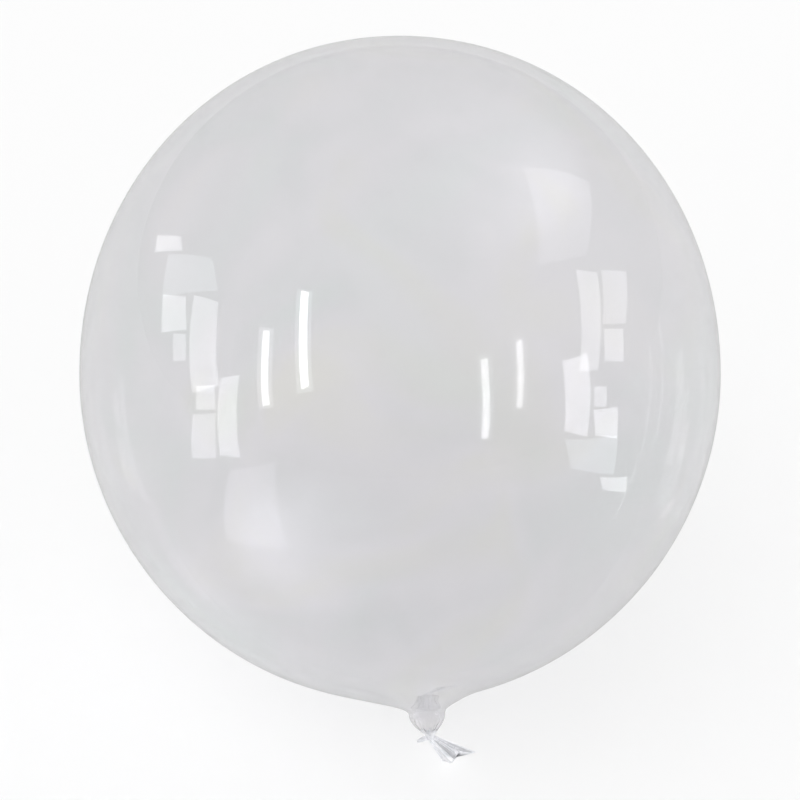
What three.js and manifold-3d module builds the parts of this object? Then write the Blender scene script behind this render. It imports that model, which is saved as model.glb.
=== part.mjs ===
import * as THREE from "three";
import Module from "manifold-3d";

// A clear bubble balloon in millimetres, +Z up. It is worked out upright about the Z axis, crown up
// and neck down, then leaned over onto a small flat spot. Depths run down from the widest section.

// Envelope: two half superellipses that meet at the widest section.
const BODY_RADIUS = 240;
const CROWN_HEIGHT = 253.5; // widest section to the crown
const CROWN_POWER = 2.04; // 2 is an ellipse, more is fuller
const BASE_DEPTH = 245; // widest section to where the base would close with no neck
const BASE_POWER = 1.97;

// Neck: the base runs on as a cone along its tangent, fillets into a short tube and closes as a cup.
const CONE_DEPTH = 234.75; // where the cone takes over from the base
const NECK_RADIUS = 13.3;
const NECK_FILLET = 3;
const CUP_DEPTH = 255; // where the cup starts
const NECK_OFFSET = 20.2; // the neck sits this far to +X of the body's axis
const OFFSET_START = 235.5;
const OFFSET_END = 255.5;

// Gather: the waist that the film is drawn into, and where the tail starts.
const GATHER_DEPTH = 270.5;
const GATHER_RADIUS = 3.4;
const GATHER_OFFSET = 22.2;
const GATHER_END = 274.5;

// Tail: leaves of folded film that fan out from the gather. Each turns from straight down by its
// angle towards +X, and is half as wide as given at its root, its middle and its end.
const LEAVES = [
  { x: 21.5, depth: 272.6, angle: -74, bend: 4, length: 11.4, halves: [1.3, 2.1, 0.8], front: 0.6 },
  { x: 22.6, depth: 271.6, angle: 42, bend: 6, length: 24.4, halves: [2.2, 4.2, 6.4], front: 1.2 },
  { x: 22.8, depth: 272.8, angle: 58, bend: 29, length: 36.8, halves: [1.6, 5.1, 0.5], front: -1.6 },
];
const LEAF_THICKNESS = 2.4;

// Pose: leaned over so that the neck points down towards -Y, and cut level where it rests.
const LEAN = 36; // degrees between the neck and straight down
const FLAT_DEPTH = 3; // how much the flat spot takes off the roundness

const AROUND = 64; // facets round the envelope and neck
const CROWN_RINGS = 20;
const BASE_RINGS = 17;
const NECK_RINGS = 10;
const CUP_RINGS = 6;
const LEAF_AROUND = 12;
const LEAF_RINGS = 7;

const wasm = await Module();
wasm.setup();

const rad = (degrees) => (degrees * Math.PI) / 180;
const clamp01 = (t) => Math.min(1, Math.max(0, t));
const smooth = (t) => clamp01(t) ** 2 * (3 - 2 * clamp01(t));

// Radius of a half superellipse at a share t of its height, 0 at the widest section.
const bulge = (t, power) => BODY_RADIUS * (1 - t ** power) ** (1 / power);

// Slope of the base, radius per depth, at the depth where the cone starts.
function coneSlope() {
  const t = CONE_DEPTH / BASE_DEPTH;
  const rise = (1 - t ** BASE_POWER) ** (1 / BASE_POWER - 1);
  return (-BODY_RADIUS / BASE_DEPTH) * t ** (BASE_POWER - 1) * rise;
}

// Radius of the cone at a depth, rounded into the neck tube by a soft maximum.
function neckRadius(depth) {
  const coneStart = bulge(CONE_DEPTH / BASE_DEPTH, BASE_POWER);
  const over = coneStart + coneSlope() * (depth - CONE_DEPTH) - NECK_RADIUS;
  return NECK_RADIUS + NECK_FILLET * Math.log(1 + Math.exp(over / NECK_FILLET));
}

// How far the section at a depth is shifted to +X of the body's axis.
function shift(depth) {
  const neck = NECK_OFFSET * smooth((depth - OFFSET_START) / (OFFSET_END - OFFSET_START));
  const drift = clamp01((depth - CUP_DEPTH) / (GATHER_DEPTH - CUP_DEPTH)) ** 4;
  return neck + (GATHER_OFFSET - NECK_OFFSET) * drift;
}

// Radius and depth of each section from just under the crown to just above the gather's end.
function sections() {
  const list = [];
  for (let i = 1; i <= CROWN_RINGS; i++) {
    const angle = (i / CROWN_RINGS) * (Math.PI / 2);
    const t = Math.cos(angle) ** (2 / CROWN_POWER);
    list.push([i === CROWN_RINGS ? BODY_RADIUS : bulge(t, CROWN_POWER), -CROWN_HEIGHT * t]);
  }
  const coneAngle = Math.asin((CONE_DEPTH / BASE_DEPTH) ** (BASE_POWER / 2));
  for (let i = 1; i <= BASE_RINGS; i++) {
    const t = Math.sin((i / BASE_RINGS) * coneAngle) ** (2 / BASE_POWER);
    list.push([bulge(t, BASE_POWER), BASE_DEPTH * t]);
  }
  for (let i = 1; i <= NECK_RINGS; i++) {
    const depth = CONE_DEPTH + (i / NECK_RINGS) * (CUP_DEPTH - CONE_DEPTH);
    list.push([neckRadius(depth), depth]);
  }
  const tube = neckRadius(CUP_DEPTH);
  for (let i = 1; i <= CUP_RINGS; i++) {
    const t = Math.sin((i / CUP_RINGS) * (Math.PI / 2));
    const radius = GATHER_RADIUS + (tube - GATHER_RADIUS) * Math.cos((t * Math.PI) / 2);
    list.push([radius, CUP_DEPTH + t * (GATHER_DEPTH - CUP_DEPTH)]);
  }
  list.push([GATHER_RADIUS, (GATHER_DEPTH + GATHER_END) / 2]);
  return list;
}

// A closed solid through rings of points, drawn to a tip at each end. The rings run anticlockwise
// when they are seen from the first tip.
function loft(rings, firstTip, lastTip) {
  const count = rings[0].length;
  const last = rings.length * count + 1;
  const at = (ring, k) => 1 + ring * count + (k % count);
  const triangles = [];
  for (let k = 0; k < count; k++) {
    triangles.push(0, at(0, k), at(0, k + 1));
    for (let ring = 0; ring + 1 < rings.length; ring++) {
      triangles.push(at(ring, k), at(ring + 1, k), at(ring + 1, k + 1));
      triangles.push(at(ring, k), at(ring + 1, k + 1), at(ring, k + 1));
    }
    triangles.push(at(rings.length - 1, k), last, at(rings.length - 1, k + 1));
  }
  const points = [firstTip, ...rings.flat(), lastTip].flat();
  const mesh = new wasm.Mesh({
    numProp: 3,
    vertProperties: new Float32Array(points),
    triVerts: new Uint32Array(triangles),
  });
  return new wasm.Manifold(mesh);
}

// Envelope, neck and gather as one upright solid.
function envelope() {
  const rings = sections().map(([radius, depth]) => {
    const ring = [];
    for (let k = 0; k < AROUND; k++) {
      const angle = (k / AROUND) * 2 * Math.PI;
      ring.push([shift(depth) + radius * Math.cos(angle), radius * Math.sin(angle), -depth]);
    }
    return ring;
  });
  return loft(rings, [0, 0, CROWN_HEIGHT], [GATHER_OFFSET, 0, -GATHER_END]);
}

// One leaf of the tail: flat rounded sections along an arc that turns by the leaf's bend.
function leaf({ x, depth, angle, bend, length, halves, front }) {
  const [root, middle, end] = halves;
  const rings = [];
  let tip = [x, -front, -depth];
  const firstTip = tip;
  for (let i = 0; i < LEAF_RINGS; i++) {
    const t = (i + 0.5) / LEAF_RINGS;
    const turn = rad(angle + bend * t);
    const along = [Math.sin(turn), -Math.cos(turn)];
    const across = [Math.cos(turn), Math.sin(turn)];
    const half = root * (1 - t) * (1 - 2 * t) + 4 * middle * t * (1 - t) + end * t * (2 * t - 1);
    const step = length / LEAF_RINGS / 2;
    tip = [tip[0] + along[0] * step, tip[1], tip[2] + along[1] * step];
    const ring = [];
    for (let k = 0; k < LEAF_AROUND; k++) {
      const round = (k / LEAF_AROUND) * 2 * Math.PI;
      const side = half * Math.cos(round);
      const out = (LEAF_THICKNESS / 2) * Math.sin(round);
      ring.push([tip[0] + across[0] * side, tip[1] + out, tip[2] + across[1] * side]);
    }
    rings.push(ring);
    tip = [tip[0] + along[0] * step, tip[1], tip[2] + along[1] * step];
  }
  return loft(rings, firstTip, tip);
}

// The leaning solid, cut level at its underside, with the middle of the flat spot at the origin.
function restingBalloon() {
  const upright = wasm.Manifold.union([envelope(), ...LEAVES.map(leaf)]);
  const leaned = upright.rotate([-LEAN, 0, 0]);
  const floor = leaned.boundingBox().min[2] + FLAT_DEPTH;
  const cut = leaned.trimByPlane([0, 0, 1], floor);
  const foot = cut.slice(floor + 0.001).bounds();
  const centre = [(foot.min[0] + foot.max[0]) / 2, (foot.min[1] + foot.max[1]) / 2];
  return cut.translate([-centre[0], -centre[1], -floor]);
}

function toGeometry(solid) {
  const mesh = solid.getMesh();
  const geometry = new THREE.BufferGeometry();
  geometry.setAttribute("position", new THREE.BufferAttribute(mesh.vertProperties, 3));
  geometry.setIndex(new THREE.BufferAttribute(mesh.triVerts, 1));
  geometry.computeVertexNormals();
  return geometry;
}

const film = new THREE.MeshStandardMaterial({ color: 0xdfe3e6, roughness: 0.05, metalness: 0 });
const balloon = new THREE.Mesh(toGeometry(restingBalloon()), film);
balloon.name = "bubble_balloon";

const part = new THREE.Group();
part.name = "clear_bubble_balloon";
part.add(balloon);

export default part;
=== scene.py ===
import math

import bpy
import numpy as np
from mathutils import Matrix, Vector


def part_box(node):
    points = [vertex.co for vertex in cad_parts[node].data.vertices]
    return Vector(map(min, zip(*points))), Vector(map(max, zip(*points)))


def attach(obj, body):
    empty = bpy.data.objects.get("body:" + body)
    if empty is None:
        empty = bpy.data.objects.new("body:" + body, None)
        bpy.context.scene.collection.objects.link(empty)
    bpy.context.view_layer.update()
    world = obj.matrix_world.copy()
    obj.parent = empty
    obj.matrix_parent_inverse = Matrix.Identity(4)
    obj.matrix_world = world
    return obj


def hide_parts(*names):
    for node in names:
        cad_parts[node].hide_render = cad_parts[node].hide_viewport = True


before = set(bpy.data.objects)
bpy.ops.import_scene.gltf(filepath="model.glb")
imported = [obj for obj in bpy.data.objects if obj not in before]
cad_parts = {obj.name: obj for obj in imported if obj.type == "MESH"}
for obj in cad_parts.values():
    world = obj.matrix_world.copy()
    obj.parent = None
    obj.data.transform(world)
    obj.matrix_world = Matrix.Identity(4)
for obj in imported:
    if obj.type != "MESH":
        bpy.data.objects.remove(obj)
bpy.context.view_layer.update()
solidLow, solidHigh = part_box("bubble_balloon")
bodyRadius = (solidHigh.x - solidLow.x) / 2
print("frame loaded, body radius", round(bodyRadius, 4))


def smoothStep(t):
    # 3 t^2 - 2 t^3, held at 0 and 1
    t = np.clip(t, 0.0, 1.0)
    return t * t * (3.0 - 2.0 * t)


def tubePart(rings, firstTip, lastTip, start, inward=False):
    # a grid of rings (rows x columns x 3) closed to a tip at each end, with quads between the rings
    # and triangles to the tips
    rows, columns, _ = rings.shape
    points = np.concatenate([rings.reshape(-1, 3), [firstTip], [lastTip]])
    row, column = np.meshgrid(np.arange(rows - 1), np.arange(columns), indexing="ij")
    a = start + row * columns + column
    b = start + row * columns + (column + 1) % columns
    quads = np.stack([a, a + columns, b + columns, b], -1).reshape(-1, 4)
    here = np.arange(columns)
    there = (here + 1) % columns
    first = np.full(columns, start + rows * columns)
    lastRow = start + (rows - 1) * columns
    top = np.stack([first, start + here, start + there], -1)
    bottom = np.stack([lastRow + here, first + 1, lastRow + there], -1)
    if inward:
        quads, top, bottom = quads[:, ::-1], top[:, ::-1], bottom[:, ::-1]
    return points, quads, np.concatenate([top, bottom])


film = {
    # lengths and depths in body radii, depths down from the widest section
    "crownRise": 1.05625,
    "crownPower": 2.04,        # 2 is an ellipse, more is fuller
    "baseDrop": 1.02083,
    "basePower": 1.97,
    "coneStart": 0.97813,      # where the base runs on as a cone
    "neckRadius": 0.05542,
    "neckFillet": 0.021,
    "cupStart": 1.0625,        # where the neck closes like a cup
    "gatherDepth": 1.12708,    # the waist that the film is drawn into
    "gatherRadius": 0.01417,
    "gatherTaper": 0.3,        # how much narrower the waist gets below
    "gatherEnd": 1.14375,
    "neckOffset": 0.08417,     # the neck sits this far to +X
    "gatherOffset": 0.0925,
    "offsetStart": 0.98125,
    "offsetEnd": 1.06458,
    "driftPower": 4,           # how late the gather drifts off
    "innerEnd": 1.12308,       # the hollow stops just above the waist
    "bunchedFrom": 1.112,      # where the clear film turns milky with folds
    "bunchedUneven": 0.003,
    "bunchedWave": (9, 0.6),   # waves round the neck and phase
    "pleatTwist": 2.2,         # radians per body radius of depth
    "pleatWaves": [            # waves round the neck, share, phase
        (9, 0.5, 0.6), (13, 0.35, 2.1), (5, 0.25, -1.0)],
    "pleatSteps": [            # from a depth, over a length, to a share of the radius
        (0.985, 0.05, 0.012), (1.065, 0.04, 0.05), (1.10, 0.027, 0.20)],
    "ripple": 0.00045,         # height of the film's unevenness
    "rippleFade": 0.3,         # it dies away over this depth above the neck
    "rippleWaves": [           # share, then x, y and z wave numbers and phase of the sine and the cosine
        (0.40, (9.1, 0, 3.3, 0.4), (0, -2.1, 7.3, 0)),
        (0.22, (5.1, 0, 17.7, -1.3), (4.7, 13.9, 0, 0.8)),
        (0.10, (0, -11.9, 31.3, 2.2), (23.1, 0, 9.3, 0))],
    "lean": 36.0,              # degrees between the neck and straight down
    "wall": 0.0004,            # metres
    "pressedBelow": 0.02,      # metres, only film lower than this is pressed flat
    "pressedSoftness": 0.0005, # metres, how softly the flat spot meets the round
    "around": 216,
    "crownRings": 54,
    "baseRings": 44,
    "neckRings": 22,
    "cupRings": 18,
    "gatherRings": 6,
}


def bulge(t, power):
    # radius of a half superellipse at a share t of its height: (1 - t^p)^(1/p)
    return np.maximum(1.0 - t ** power, 0.0) ** (1.0 / power)


def profileOfFilm(f):
    # radius and depth down the film: crown and base superellipses, the base's tangent as a cone with a
    # soft fillet r = neck + fillet * ln(1 + e^(over / fillet)), a cosine cup and the gathered waist
    t = np.arange(1, f["crownRings"] + 1) / f["crownRings"]
    t = np.cos(t * math.pi / 2).clip(0) ** (2 / f["crownPower"])
    radius, depth = [bulge(t, f["crownPower"])], [-f["crownRise"] * t]
    share, p = f["coneStart"] / f["baseDrop"], f["basePower"]
    coneAngle = math.asin(share ** (p / 2))
    t = np.sin(np.arange(1, f["baseRings"] + 1) / f["baseRings"] * coneAngle) ** (2 / p)
    radius.append(bulge(t, p))
    depth.append(f["baseDrop"] * t)
    slope = -1 / f["baseDrop"] * share ** (p - 1) * (1 - share ** p) ** (1 / p - 1)

    def neck(d):
        over = bulge(share, p) + slope * (d - f["coneStart"]) - f["neckRadius"]
        return f["neckRadius"] + f["neckFillet"] * np.log1p(np.exp(over / f["neckFillet"]))

    t = np.arange(1, f["neckRings"] + 1) / f["neckRings"]
    d = f["coneStart"] + t * (f["cupStart"] - f["coneStart"])
    radius.append(neck(d))
    depth.append(d)
    t = np.sin(np.arange(1, f["cupRings"] + 1) / f["cupRings"] * math.pi / 2)
    radius.append(f["gatherRadius"] + (neck(f["cupStart"]) - f["gatherRadius"]) * np.cos(t * math.pi / 2))
    depth.append(f["cupStart"] + t * (f["gatherDepth"] - f["cupStart"]))
    t = np.arange(1, f["gatherRings"]) / f["gatherRings"]
    radius.append(f["gatherRadius"] * (1 - f["gatherTaper"] * t))
    depth.append(f["gatherDepth"] + t * (f["gatherEnd"] - f["gatherDepth"]))
    return np.concatenate(radius), np.concatenate(depth)


def neckShift(f, depth):
    # how far a section is shifted to +X: a smooth step at the neck, then a late drift to the gather
    step = smoothStep((depth - f["offsetStart"]) / (f["offsetEnd"] - f["offsetStart"]))
    drift = ((depth - f["cupStart"]) / (f["gatherDepth"] - f["cupStart"])).clip(0, 1) ** f["driftPower"]
    return f["neckOffset"] * step + (f["gatherOffset"] - f["neckOffset"]) * drift


def pleats(f, depth, around):
    # fold height as a share of the radius: a sum of share * cos(waves * angle + phase) round the neck,
    # twisted with depth, times smooth steps that deepen it towards the gather
    turned = around + f["pleatTwist"] * (depth - 1.0)
    wave = sum(share * np.cos(waves * turned + phase) for waves, share, phase in f["pleatWaves"])
    grow = sum(height * smoothStep((depth - top) / length) for top, length, height in f["pleatSteps"])
    return grow * wave


def unevenness(f, x, y, z):
    # slight waviness of stretched film: a sum of share * sin(a) * cos(b), where a and b are plane waves
    # of the position
    def plane(kx, ky, kz, phase):
        return kx * x + ky * y + kz * z + phase

    return sum(share * np.sin(plane(*a)) * np.cos(plane(*b)) for share, a, b in f["rippleWaves"])


def filmRings(f, inset=0.0, endDepth=math.inf):
    # rings of the film, upright, +Y away from the viewer; inset moves them along the inward normal
    radius, depth = profileOfFilm(f)
    radius, depth = radius[depth < endDepth][:, None], depth[depth < endDepth][:, None]
    around = (np.arange(f["around"]) / f["around"] * 2 * math.pi)[None, :]
    r = radius * (1 + pleats(f, depth, around))
    x, y, z = neckShift(f, depth) + r * np.cos(around), r * np.sin(around), -depth + 0 * around
    swell = f["ripple"] * unevenness(f, x, y, z) * smoothStep((1.0 - depth) / f["rippleFade"])
    x, y, z = x * (1 + swell), y * (1 + swell), z * (1 + swell)
    rings = np.stack([x, y, z], -1) * bodyRadius
    if inset:
        normal = np.cross(np.gradient(rings, axis=0), np.roll(rings, -1, 1) - np.roll(rings, 1, 1))
        rings = rings - inset * normal / np.linalg.norm(normal, axis=-1, keepdims=True)
    return rings


outer = filmRings(film)
inner = filmRings(film, film["wall"], film["innerEnd"])
wallDown = np.array([0, 0, film["wall"]])
crownTip = np.array([0, 0, film["crownRise"] * bodyRadius])
gatherTip = np.array([film["gatherOffset"], 0, -film["gatherEnd"]]) * bodyRadius
outerPart = tubePart(outer, crownTip, gatherTip, 0)
innerPart = tubePart(inner, crownTip - wallDown, inner[-1].mean(0) - wallDown, len(outerPart[0]), True)
print("film surface", outer.shape, "outer and", inner.shape, "inner")

tail = {
    # fans of folded film below the gather, each given ray by ray: angle in degrees from straight down
    # to +X, then length and lift towards the viewer in body radii
    "rootX": 0.0925,
    "rootDepth": 1.1325,
    "rootHalf": 0.010,         # half the width of a fan where it leaves the gather
    "wall": 0.0020,
    "around": 168,
    "along": 28,
    "liftPower": 0.8,
    "curl": 0.006,             # how far the free ends bend away
    "curlPower": 3,
    "pleats": 3.6,             # fine pleats across a fan
    "pleatCrowding": 0.6,
    "pleatHeight": 0.0026,
    "hemWaves": 3.3,           # unevenness of the free edge
    "hemHeight": 0.018,
    "fans": [
        dict(front=0.004, phase=0.5, angles=(28, 37, 47, 55, 63, 71.5),
             lengths=(0.086, 0.104, 0.107, 0.1015, 0.108, 0.158),
             lifts=(-0.004, 0.004, 0.024, -0.012, -0.020, 0.006)),
        dict(front=-0.003, phase=2.4, angles=(31, 42, 50, 60, 69),
             lengths=(0.078, 0.094, 0.098, 0.096, 0.112),
             lifts=(-0.006, -0.014, 0.004, -0.016, -0.004)),
        dict(front=0.002, phase=1.2, angles=(-82, -70, -60, -48),
             lengths=(0.028, 0.043, 0.041, 0.026),
             lifts=(0.010, 0.006, -0.002, -0.010)),
    ],
}


def fanRings(t, fan):
    # rays from the root at angle(u), each length(u) long and lifted by lift(u) s^liftPower less
    # curl s^curlPower, with fine cosine pleats that spread as they go, as a thin closed sheet that
    # starts as wide as the gather
    around = np.arange(t["around"]) / t["around"] * 2 * math.pi
    u = ((1 - np.cos(around)) / 2)[None, :]
    s = ((np.arange(t["along"]) + 1) / t["along"])[:, None]
    knots = np.linspace(0, 1, len(fan["angles"]))
    angle = np.radians(np.interp(u, knots, fan["angles"]))
    across = 2 * math.pi * (t["pleats"] * u + t["pleatCrowding"] * u ** 2)
    pleat = t["pleatHeight"] * (0.5 + 0.5 * s) * np.cos(across + fan["phase"])
    lift = np.interp(u, knots, fan["lifts"]) * s ** t["liftPower"]
    lift = lift - t["curl"] * s ** t["curlPower"] + pleat
    hem = 1 + t["hemHeight"] * np.cos(2 * math.pi * t["hemWaves"] * u + fan["phase"])
    reach = s * np.interp(u, knots, fan["lengths"]) * hem
    middle = math.radians(fan["angles"][len(knots) // 2])
    side = t["rootHalf"] * (2 * u - 1) * (1 - s)
    x = t["rootX"] + reach * np.sin(angle) + side * math.cos(middle)
    z = -t["rootDepth"] - reach * np.cos(angle) + side * math.sin(middle)
    y = -fan["front"] * s - lift + t["wall"] / 2 * np.sin(around)[None, :]
    return np.stack([x, y, z], -1) * bodyRadius


parts = [outerPart, innerPart]
count = len(outerPart[0]) + len(innerPart[0])
for fan in tail["fans"]:
    rings = fanRings(tail, fan)
    parts.append(tubePart(rings, rings[0].mean(0), rings[-1].mean(0), count))
    count += len(parts[-1][0])
upright = np.concatenate([p[0] for p in parts])
print("tail of", len(tail["fans"]), "fans,", count, "points in all")


def bunching(f, points):
    # depth of each point in body radii, which a cosine round the neck makes uneven on the outer film
    depth = -points[:, 2] / bodyRadius
    turns = np.arange(len(outerPart[0])) % f["around"] / f["around"]
    waves, phase = f["bunchedWave"]
    depth[:len(turns)] += f["bunchedUneven"] * np.cos(2 * math.pi * waves * turns + phase)
    return depth


def layDown(f, points):
    # lean about the X axis, set the crown side against the solid's box, then press flat where it rests:
    # z becomes s ln(1 + e^(z / s)); gives the points and the middle of the round body
    cosLean, sinLean = math.cos(math.radians(-f["lean"])), math.sin(math.radians(-f["lean"]))
    points = points @ np.array([[1, 0, 0], [0, cosLean, sinLean], [0, -sinLean, cosLean]])
    centre = np.array([0.0, solidHigh.y - points[:, 1].max(), solidHigh.z - points[:, 2].max()])
    points = points + centre
    height, soft = points[:, 2], f["pressedSoftness"]
    points[:, 2] = np.where(height < f["pressedBelow"], soft * np.logaddexp(0, height / soft), height)
    return points, centre


depthOfPoint = bunching(film, upright)
points, bodyCentre = layDown(film, upright)
print("body centre", bodyCentre.round(4), "lowest point", points[:, 2].min().round(6))


def plainShader(name, values):
    # a Principled shader with plain values on its own sockets
    m = bpy.data.materials.new(name)
    m.use_nodes = True
    p = m.node_tree.nodes["Principled BSDF"]
    for socket, value in values.items():
        p.inputs[socket].default_value = value
    return m


finish = {
    # sizes and heights in metres
    "cloudDetail": 2.0,
    "cloudDistortion": 1.2,
    "tintsOver": (0.3, 0.7),       # the part of the noise that the tints spread over
    "roughnessOver": (0.35, 0.65),
    "clearTints": [(0.822, 0.842, 0.840, 1), (0.834, 0.834, 0.845, 1), (0.856, 0.850, 0.864, 1),
                   (0.858, 0.854, 0.838, 1)],
    "clearCloud": 0.16,
    "clearRoughness": (0.012, 0.03),
    "gatheredTints": [(0.58, 0.59, 0.62, 1), (0.87, 0.87, 0.89, 1)],
    "gatheredCloud": 0.006,
    "gatheredRoughness": (0.28, 0.48),
    "creaseSize": 0.0045,
    "creaseHeight": 0.0003,
    "creaseDetail": 3.0,
}


def noiseOf(m, size, detail, distortion=0.0):
    # noise over the object's own coordinates, its lumps about size metres wide
    nodes, links = m.node_tree.nodes, m.node_tree.links
    place = nodes.new("ShaderNodeTexCoord")
    noise = nodes.new("ShaderNodeTexNoise")
    noise.inputs["Scale"].default_value = 1 / size
    noise.inputs["Detail"].default_value = detail
    noise.inputs["Distortion"].default_value = distortion
    links.new(place.outputs["Object"], noise.inputs["Vector"])
    return noise


def rangeOf(nodes, taken, given):
    # a node that carries the range taken onto the range given
    node = nodes.new("ShaderNodeMapRange")
    for socket, value in zip(("From Min", "From Max", "To Min", "To Max"), (*taken, *given)):
        node.inputs[socket].default_value = value
    return node


def cloudyTint(m, size, colours, roughness):
    # soft cloudy noise that drifts between the tints and between two roughnesses
    nodes, links = m.node_tree.nodes, m.node_tree.links
    cloud = noiseOf(m, size, finish["cloudDetail"], finish["cloudDistortion"])
    ramp = nodes.new("ShaderNodeValToRGB")
    stops = ramp.color_ramp.elements
    while len(stops) < len(colours):
        stops.new(0.5)
    for i, place in enumerate(np.linspace(*finish["tintsOver"], len(colours))):
        stops[i].position = place
        stops[i].color = colours[i]
    links.new(cloud.outputs["Fac"], ramp.inputs["Fac"])
    links.new(ramp.outputs["Color"], nodes["Principled BSDF"].inputs["Base Color"])
    rough = rangeOf(nodes, finish["roughnessOver"], roughness)
    links.new(cloud.outputs["Fac"], rough.inputs["Value"])
    links.new(rough.outputs["Result"], nodes["Principled BSDF"].inputs["Roughness"])


def fineWrinkles(m, size, height):
    # raised noise of a given size, height metres high
    nodes, links = m.node_tree.nodes, m.node_tree.links
    crease = noiseOf(m, size, finish["creaseDetail"])
    bump = nodes.new("ShaderNodeBump")
    bump.inputs["Distance"].default_value = height
    bump.inputs["Strength"].default_value = 1.0
    links.new(crease.outputs["Fac"], bump.inputs["Height"])
    links.new(bump.outputs["Normal"], nodes["Principled BSDF"].inputs["Normal"])


clearFilm = plainShader("clearFilm", {"IOR": 1.45, "Transmission Weight": 1.0})
cloudyTint(clearFilm, finish["clearCloud"], finish["clearTints"], finish["clearRoughness"])
gatheredFilm = plainShader("gatheredFilm", {"IOR": 1.45, "Transmission Weight": 0.35})
cloudyTint(gatheredFilm, finish["gatheredCloud"], finish["gatheredTints"], finish["gatheredRoughness"])
fineWrinkles(gatheredFilm, finish["creaseSize"], finish["creaseHeight"])


def makeBalloon():
    # one mesh: the clear film outside and in, milky where the outside is bunched deep enough and on
    # the tail
    faces, slots = [], []
    for index, (_, quads, triangles) in enumerate(parts):
        for group in (quads, triangles):
            faces += group.tolist()
            if index == 0:
                slots.append(depthOfPoint[group].mean(1) > film["bunchedFrom"])
            else:
                slots.append(np.full(len(group), index > 1))
    mesh = bpy.data.meshes.new("bubbleBalloon")
    mesh.from_pydata(points.tolist(), [], faces)
    mesh.materials.append(clearFilm)
    mesh.materials.append(gatheredFilm)
    mesh.polygons.foreach_set("material_index", np.concatenate(slots).astype(np.int32))
    mesh.polygons.foreach_set("use_smooth", np.ones(len(faces), bool))
    mesh.update()
    balloon = bpy.data.objects.new("bubbleBalloon", mesh)
    bpy.context.scene.collection.objects.link(balloon)
    return balloon


balloon = makeBalloon()
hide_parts("bubble_balloon")
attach(balloon, "root")
print("balloon made,", len(balloon.data.polygons), "faces")

floorLook = {
    "reach": 40.0,
    "below": 0.0004,
    "grey": 0.9,
    "paintedReflectionGrey": 0.64,      # painted reflection: the floor's grey is darker for reflection rays, so the film mirrors it dimly, as it does the room
}


def valueByRay(tree, seen, others):
    # the value that is seen, mixed over to another one for each kind of ray in turn
    ray = tree.nodes.new("ShaderNodeLightPath")
    value = None
    for kind, other in others:
        mix = tree.nodes.new("ShaderNodeMix")
        mix.inputs["A"].default_value = seen
        mix.inputs["B"].default_value = other
        tree.links.new(ray.outputs[kind], mix.inputs["Factor"])
        if value:
            tree.links.new(value, mix.inputs["A"])
        value = mix.outputs["Result"]
    return value


def makeFloor(f):
    # a plain pale square just under the resting spot, its grey painted darker for reflection rays as a
    # painted dim reflection in the film, and pale again after a diffuse bounce
    s, z = f["reach"], -f["below"]
    mesh = bpy.data.meshes.new("floor")
    mesh.from_pydata([(-s, -s, z), (s, -s, z), (s, s, z), (-s, s, z)], [], [(0, 1, 2, 3)])
    paleFloor = plainShader("paleFloor", {"Roughness": 1.0, "Specular IOR Level": 0.0})
    tree = paleFloor.node_tree
    # painted reflection: reflection rays see the darker grey, diffuse bounces the plain pale one
    others = [("Is Reflection Ray", f["paintedReflectionGrey"]), ("Diffuse Depth", f["grey"])]
    grey = valueByRay(tree, f["grey"], others)
    tree.links.new(grey, tree.nodes["Principled BSDF"].inputs["Base Color"])
    mesh.materials.append(paleFloor)
    floor = bpy.data.objects.new("floor", mesh)
    bpy.context.scene.collection.objects.link(floor)
    return floor


floor = makeFloor(floorLook)

shot = {
    "elevation": film["lean"],
    "lens": 135.0,
    "sensor": 36.0,
    "seesTo": 100,
    "aimBelow": 0.0781,        # aim point below the body's middle, in body radii
    "across": 2.508,           # width of the view at the balloon, in body radii
}
elevation = math.radians(shot["elevation"])
toCamera = np.array([0, -math.cos(elevation), math.sin(elevation)])
upInView = np.array([0, math.sin(elevation), math.cos(elevation)])
rightInView = np.array([1.0, 0, 0])
aim = bodyCentre - upInView * shot["aimBelow"] * bodyRadius
cameraData = bpy.data.cameras.new("camera")
cameraData.lens = shot["lens"]
cameraData.sensor_width = shot["sensor"]
cameraData.clip_end = shot["seesTo"]
cameraSpot = aim + toCamera * shot["across"] * bodyRadius / (shot["sensor"] / shot["lens"])
camera = bpy.data.objects.new("camera", cameraData)
bpy.context.scene.collection.objects.link(camera)
camera.location = Vector(cameraSpot)
camera.rotation_mode = "QUATERNION"
camera.rotation_quaternion = Vector(-toCamera).to_track_quat("-Z", "Y")
bpy.context.scene.camera = camera


def mirroredWay(across, up):
    # the ray through the view at (across, up), in outline radii from the body's middle, meets the
    # round front at distance b - sqrt(b^2 - c) and leaves as r = v - 2 (v.n) n; gives the meeting
    # point and r
    toMiddle = bodyCentre - cameraSpot
    distance = np.linalg.norm(toMiddle)
    outline = bodyRadius / math.sqrt(1 - (bodyRadius / distance) ** 2)
    v = toMiddle + (across * rightInView + up * upInView) * outline
    v /= np.linalg.norm(v)
    b = v.dot(toMiddle)
    hit = cameraSpot + v * (b - math.sqrt(b * b - distance ** 2 + bodyRadius ** 2))
    n = (hit - bodyCentre) / bodyRadius
    return hit, v - 2 * v.dot(n) * n


def softenEdges(data):
    # the lamp's strength falls smoothly from its middle to nothing at its edge: 1 - smoothstep(2 r)
    data.use_nodes = True
    nodes, links = data.node_tree.nodes, data.node_tree.links
    place = nodes.new("ShaderNodeNewGeometry")
    offset = nodes.new("ShaderNodeVectorMath")
    offset.operation = "DISTANCE"
    offset.inputs[1].default_value = (0.5, 0.5, 0)
    links.new(place.outputs["Parametric"], offset.inputs[0])
    fade = rangeOf(nodes, (0.0, 0.5), (1.0, 0.0))
    fade.interpolation_type = "SMOOTHSTEP"
    links.new(offset.outputs["Value"], fade.inputs["Value"])
    links.new(fade.outputs["Result"], nodes["Emission"].inputs["Strength"])


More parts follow.
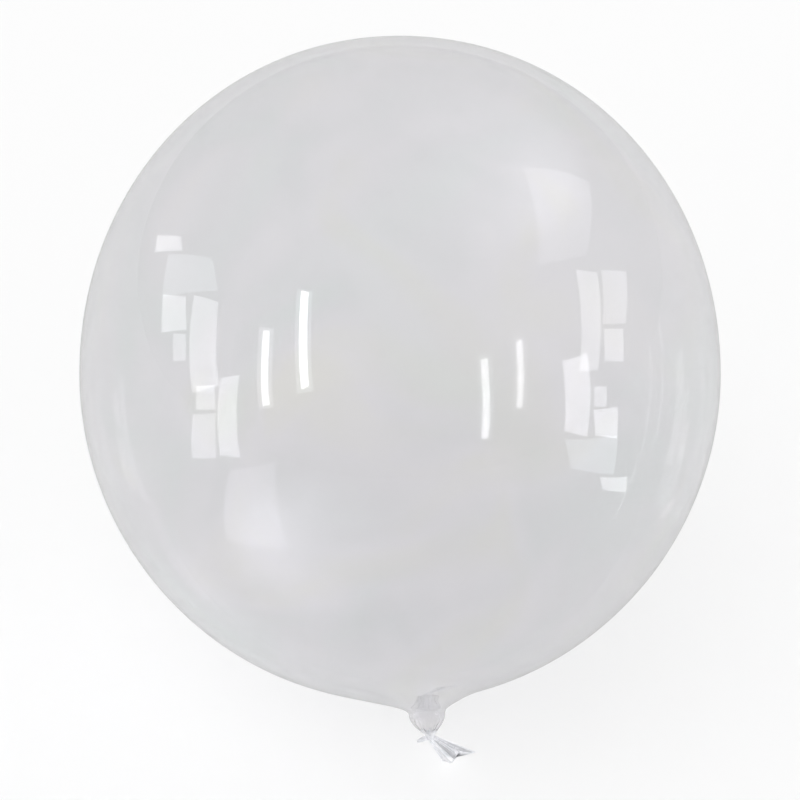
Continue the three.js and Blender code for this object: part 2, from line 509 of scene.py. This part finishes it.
def mirroredPanel(name, place, size, brightness, tint=(1, 1, 1), behind=0, through=False, soft=False):
    # a flat lamp whose mirror image in the film's front lies at place and has the given size, in
    # outline radii; it is tipped by d = sqrt(|wide . high|) at each edge, so that a square panel fills
    # the skewed image; one that is through is mirrored only by the film's inner face and far wall, and
    # so shows softer
    away = studio["panelsAway"] + behind
    (across, up), (width, height) = place, size
    hit, way = mirroredWay(across, up)
    wide = (mirroredWay(across + width / 2, up)[1] - mirroredWay(across - width / 2, up)[1]) * away
    high = (mirroredWay(across, up + height / 2)[1] - mirroredWay(across, up - height / 2)[1]) * away
    wide, high = wide - way * way.dot(wide), high - way * way.dot(high)
    skew = wide.dot(high)
    tip = way * math.sqrt(abs(skew))
    wide, high = wide + tip, high - tip * math.copysign(1, skew)
    facing = np.cross(wide, high)
    if facing.dot(way) < 0:
        wide, facing = -wide, -facing
    data = bpy.data.lights.new(name, "AREA")
    data.shape = "ELLIPSE" if soft else "RECTANGLE"
    data.size, data.size_y = float(np.linalg.norm(wide)), float(np.linalg.norm(high))
    data.energy = 4 * brightness * data.size * data.size_y
    data.color = tint
    if soft:
        softenEdges(data)
    axes = Matrix([Vector(wide).normalized(), Vector(high).normalized(), Vector(facing).normalized()])
    lamp = bpy.data.objects.new(name, data)
    bpy.context.scene.collection.objects.link(lamp)
    lamp.location = Vector(hit + way * away)
    lamp.rotation_mode = "QUATERNION"
    lamp.rotation_quaternion = axes.transposed().to_quaternion()
    lamp.visible_camera = False
    lamp.visible_diffuse = False
    lamp.visible_glossy = not through
    return lamp


studio = {
    "panelsAway": 12.0,
    "roomSeen": 0.96,          # the white behind everything
    "roomMirrored": 0.55,      # what the film mirrors
    "roomOnFloor": 0.27,       # what lights the floor and the tail, with soft shadows
    "fill": 3.24,
    "fillSpread": 1.0,
    "fillFrom": (-0.35, -0.5, 0.8),
    "panels": [
        dict(name="stripNear", place=(-0.303, 0.094), size=(0.026, 0.28), brightness=6),
        dict(name="stripFar", place=(-0.423, 0.010), size=(0.022, 0.22), brightness=5),
        dict(name="glowNear", place=(-0.303, 0.090), size=(0.052, 0.30), brightness=0.95,
             tint=(0.9, 1, 1), behind=1),
        dict(name="glowFar", place=(-0.423, 0.010), size=(0.048, 0.24), brightness=0.95, behind=1),
        dict(name="leftTall", place=(-0.615, 0.085), size=(0.084, 0.26), brightness=3.6, through=True),
        dict(name="leftUpper", place=(-0.7055, 0.168), size=(0.075, 0.095), brightness=3.6, through=True),
        dict(name="leftLower", place=(-0.6885, 0.076), size=(0.041, 0.072), brightness=3.1, through=True),
        dict(name="leftBlock", place=(-0.655, 0.2785), size=(0.16, 0.108), brightness=1.7,
             tint=(0.92, 1, 1), through=True),
        dict(name="leftTop", place=(-0.7245, 0.365), size=(0.081, 0.045), brightness=3.2, through=True),
        dict(name="rightTall", place=(0.601, 0.1375), size=(0.062, 0.285), brightness=3.2, through=True),
        dict(name="rightLower", place=(0.67, 0.0785), size=(0.06, 0.087), brightness=3.2, through=True),
        dict(name="rightUpper", place=(0.6775, 0.205), size=(0.075, 0.15), brightness=2.4, through=True),
        dict(name="rightTop", place=(0.53, 0.425), size=(0.17, 0.26), brightness=1.0,
             tint=(1, 0.98, 1.03), through=True),
        dict(name="rightCloud", place=(0.510, 0.470), size=(0.340, 0.46), brightness=0.7,
             tint=(0.98, 0.99, 1.05), behind=0.5, through=True, soft=True),
        dict(name="rightHaze", place=(0.400, 0.520), size=(0.640, 0.64), brightness=1.1,
             tint=(0.98, 0.99, 1.05), behind=1, through=True, soft=True),
    ],
}
for panel in studio["panels"]:
    mirroredPanel(**panel)

fill = bpy.data.lights.new("softFill", "SUN")
fill.energy = studio["fill"]
fill.angle = studio["fillSpread"]
fill.use_shadow = False
fillLamp = bpy.data.objects.new("softFill", fill)
bpy.context.scene.collection.objects.link(fillLamp)
fillLamp.rotation_mode = "QUATERNION"
fillLamp.rotation_quaternion = Vector(studio["fillFrom"]).to_track_quat("Z", "Y")
fillLamp.visible_glossy = False
fillLamp.visible_transmission = False
print("stage, camera and", len(studio["panels"]) + 1, "lamps made")

room = bpy.data.worlds.new("softWhiteRoom")
bpy.context.scene.world = room
room.use_nodes = True
otherRays = [("Is Reflection Ray", studio["roomMirrored"]), ("Diffuse Depth", studio["roomOnFloor"])]
strength = valueByRay(room.node_tree, studio["roomSeen"], otherRays)
background = room.node_tree.nodes["Background"]
background.inputs["Color"].default_value = (1, 1, 1, 1)
room.node_tree.links.new(strength, background.inputs["Strength"])

scene = bpy.context.scene
scene.view_settings.view_transform = "Standard"
scene.cycles.max_bounces = 16
scene.cycles.transmission_bounces = 16
scene.cycles.glossy_bounces = 8
print("white room made")
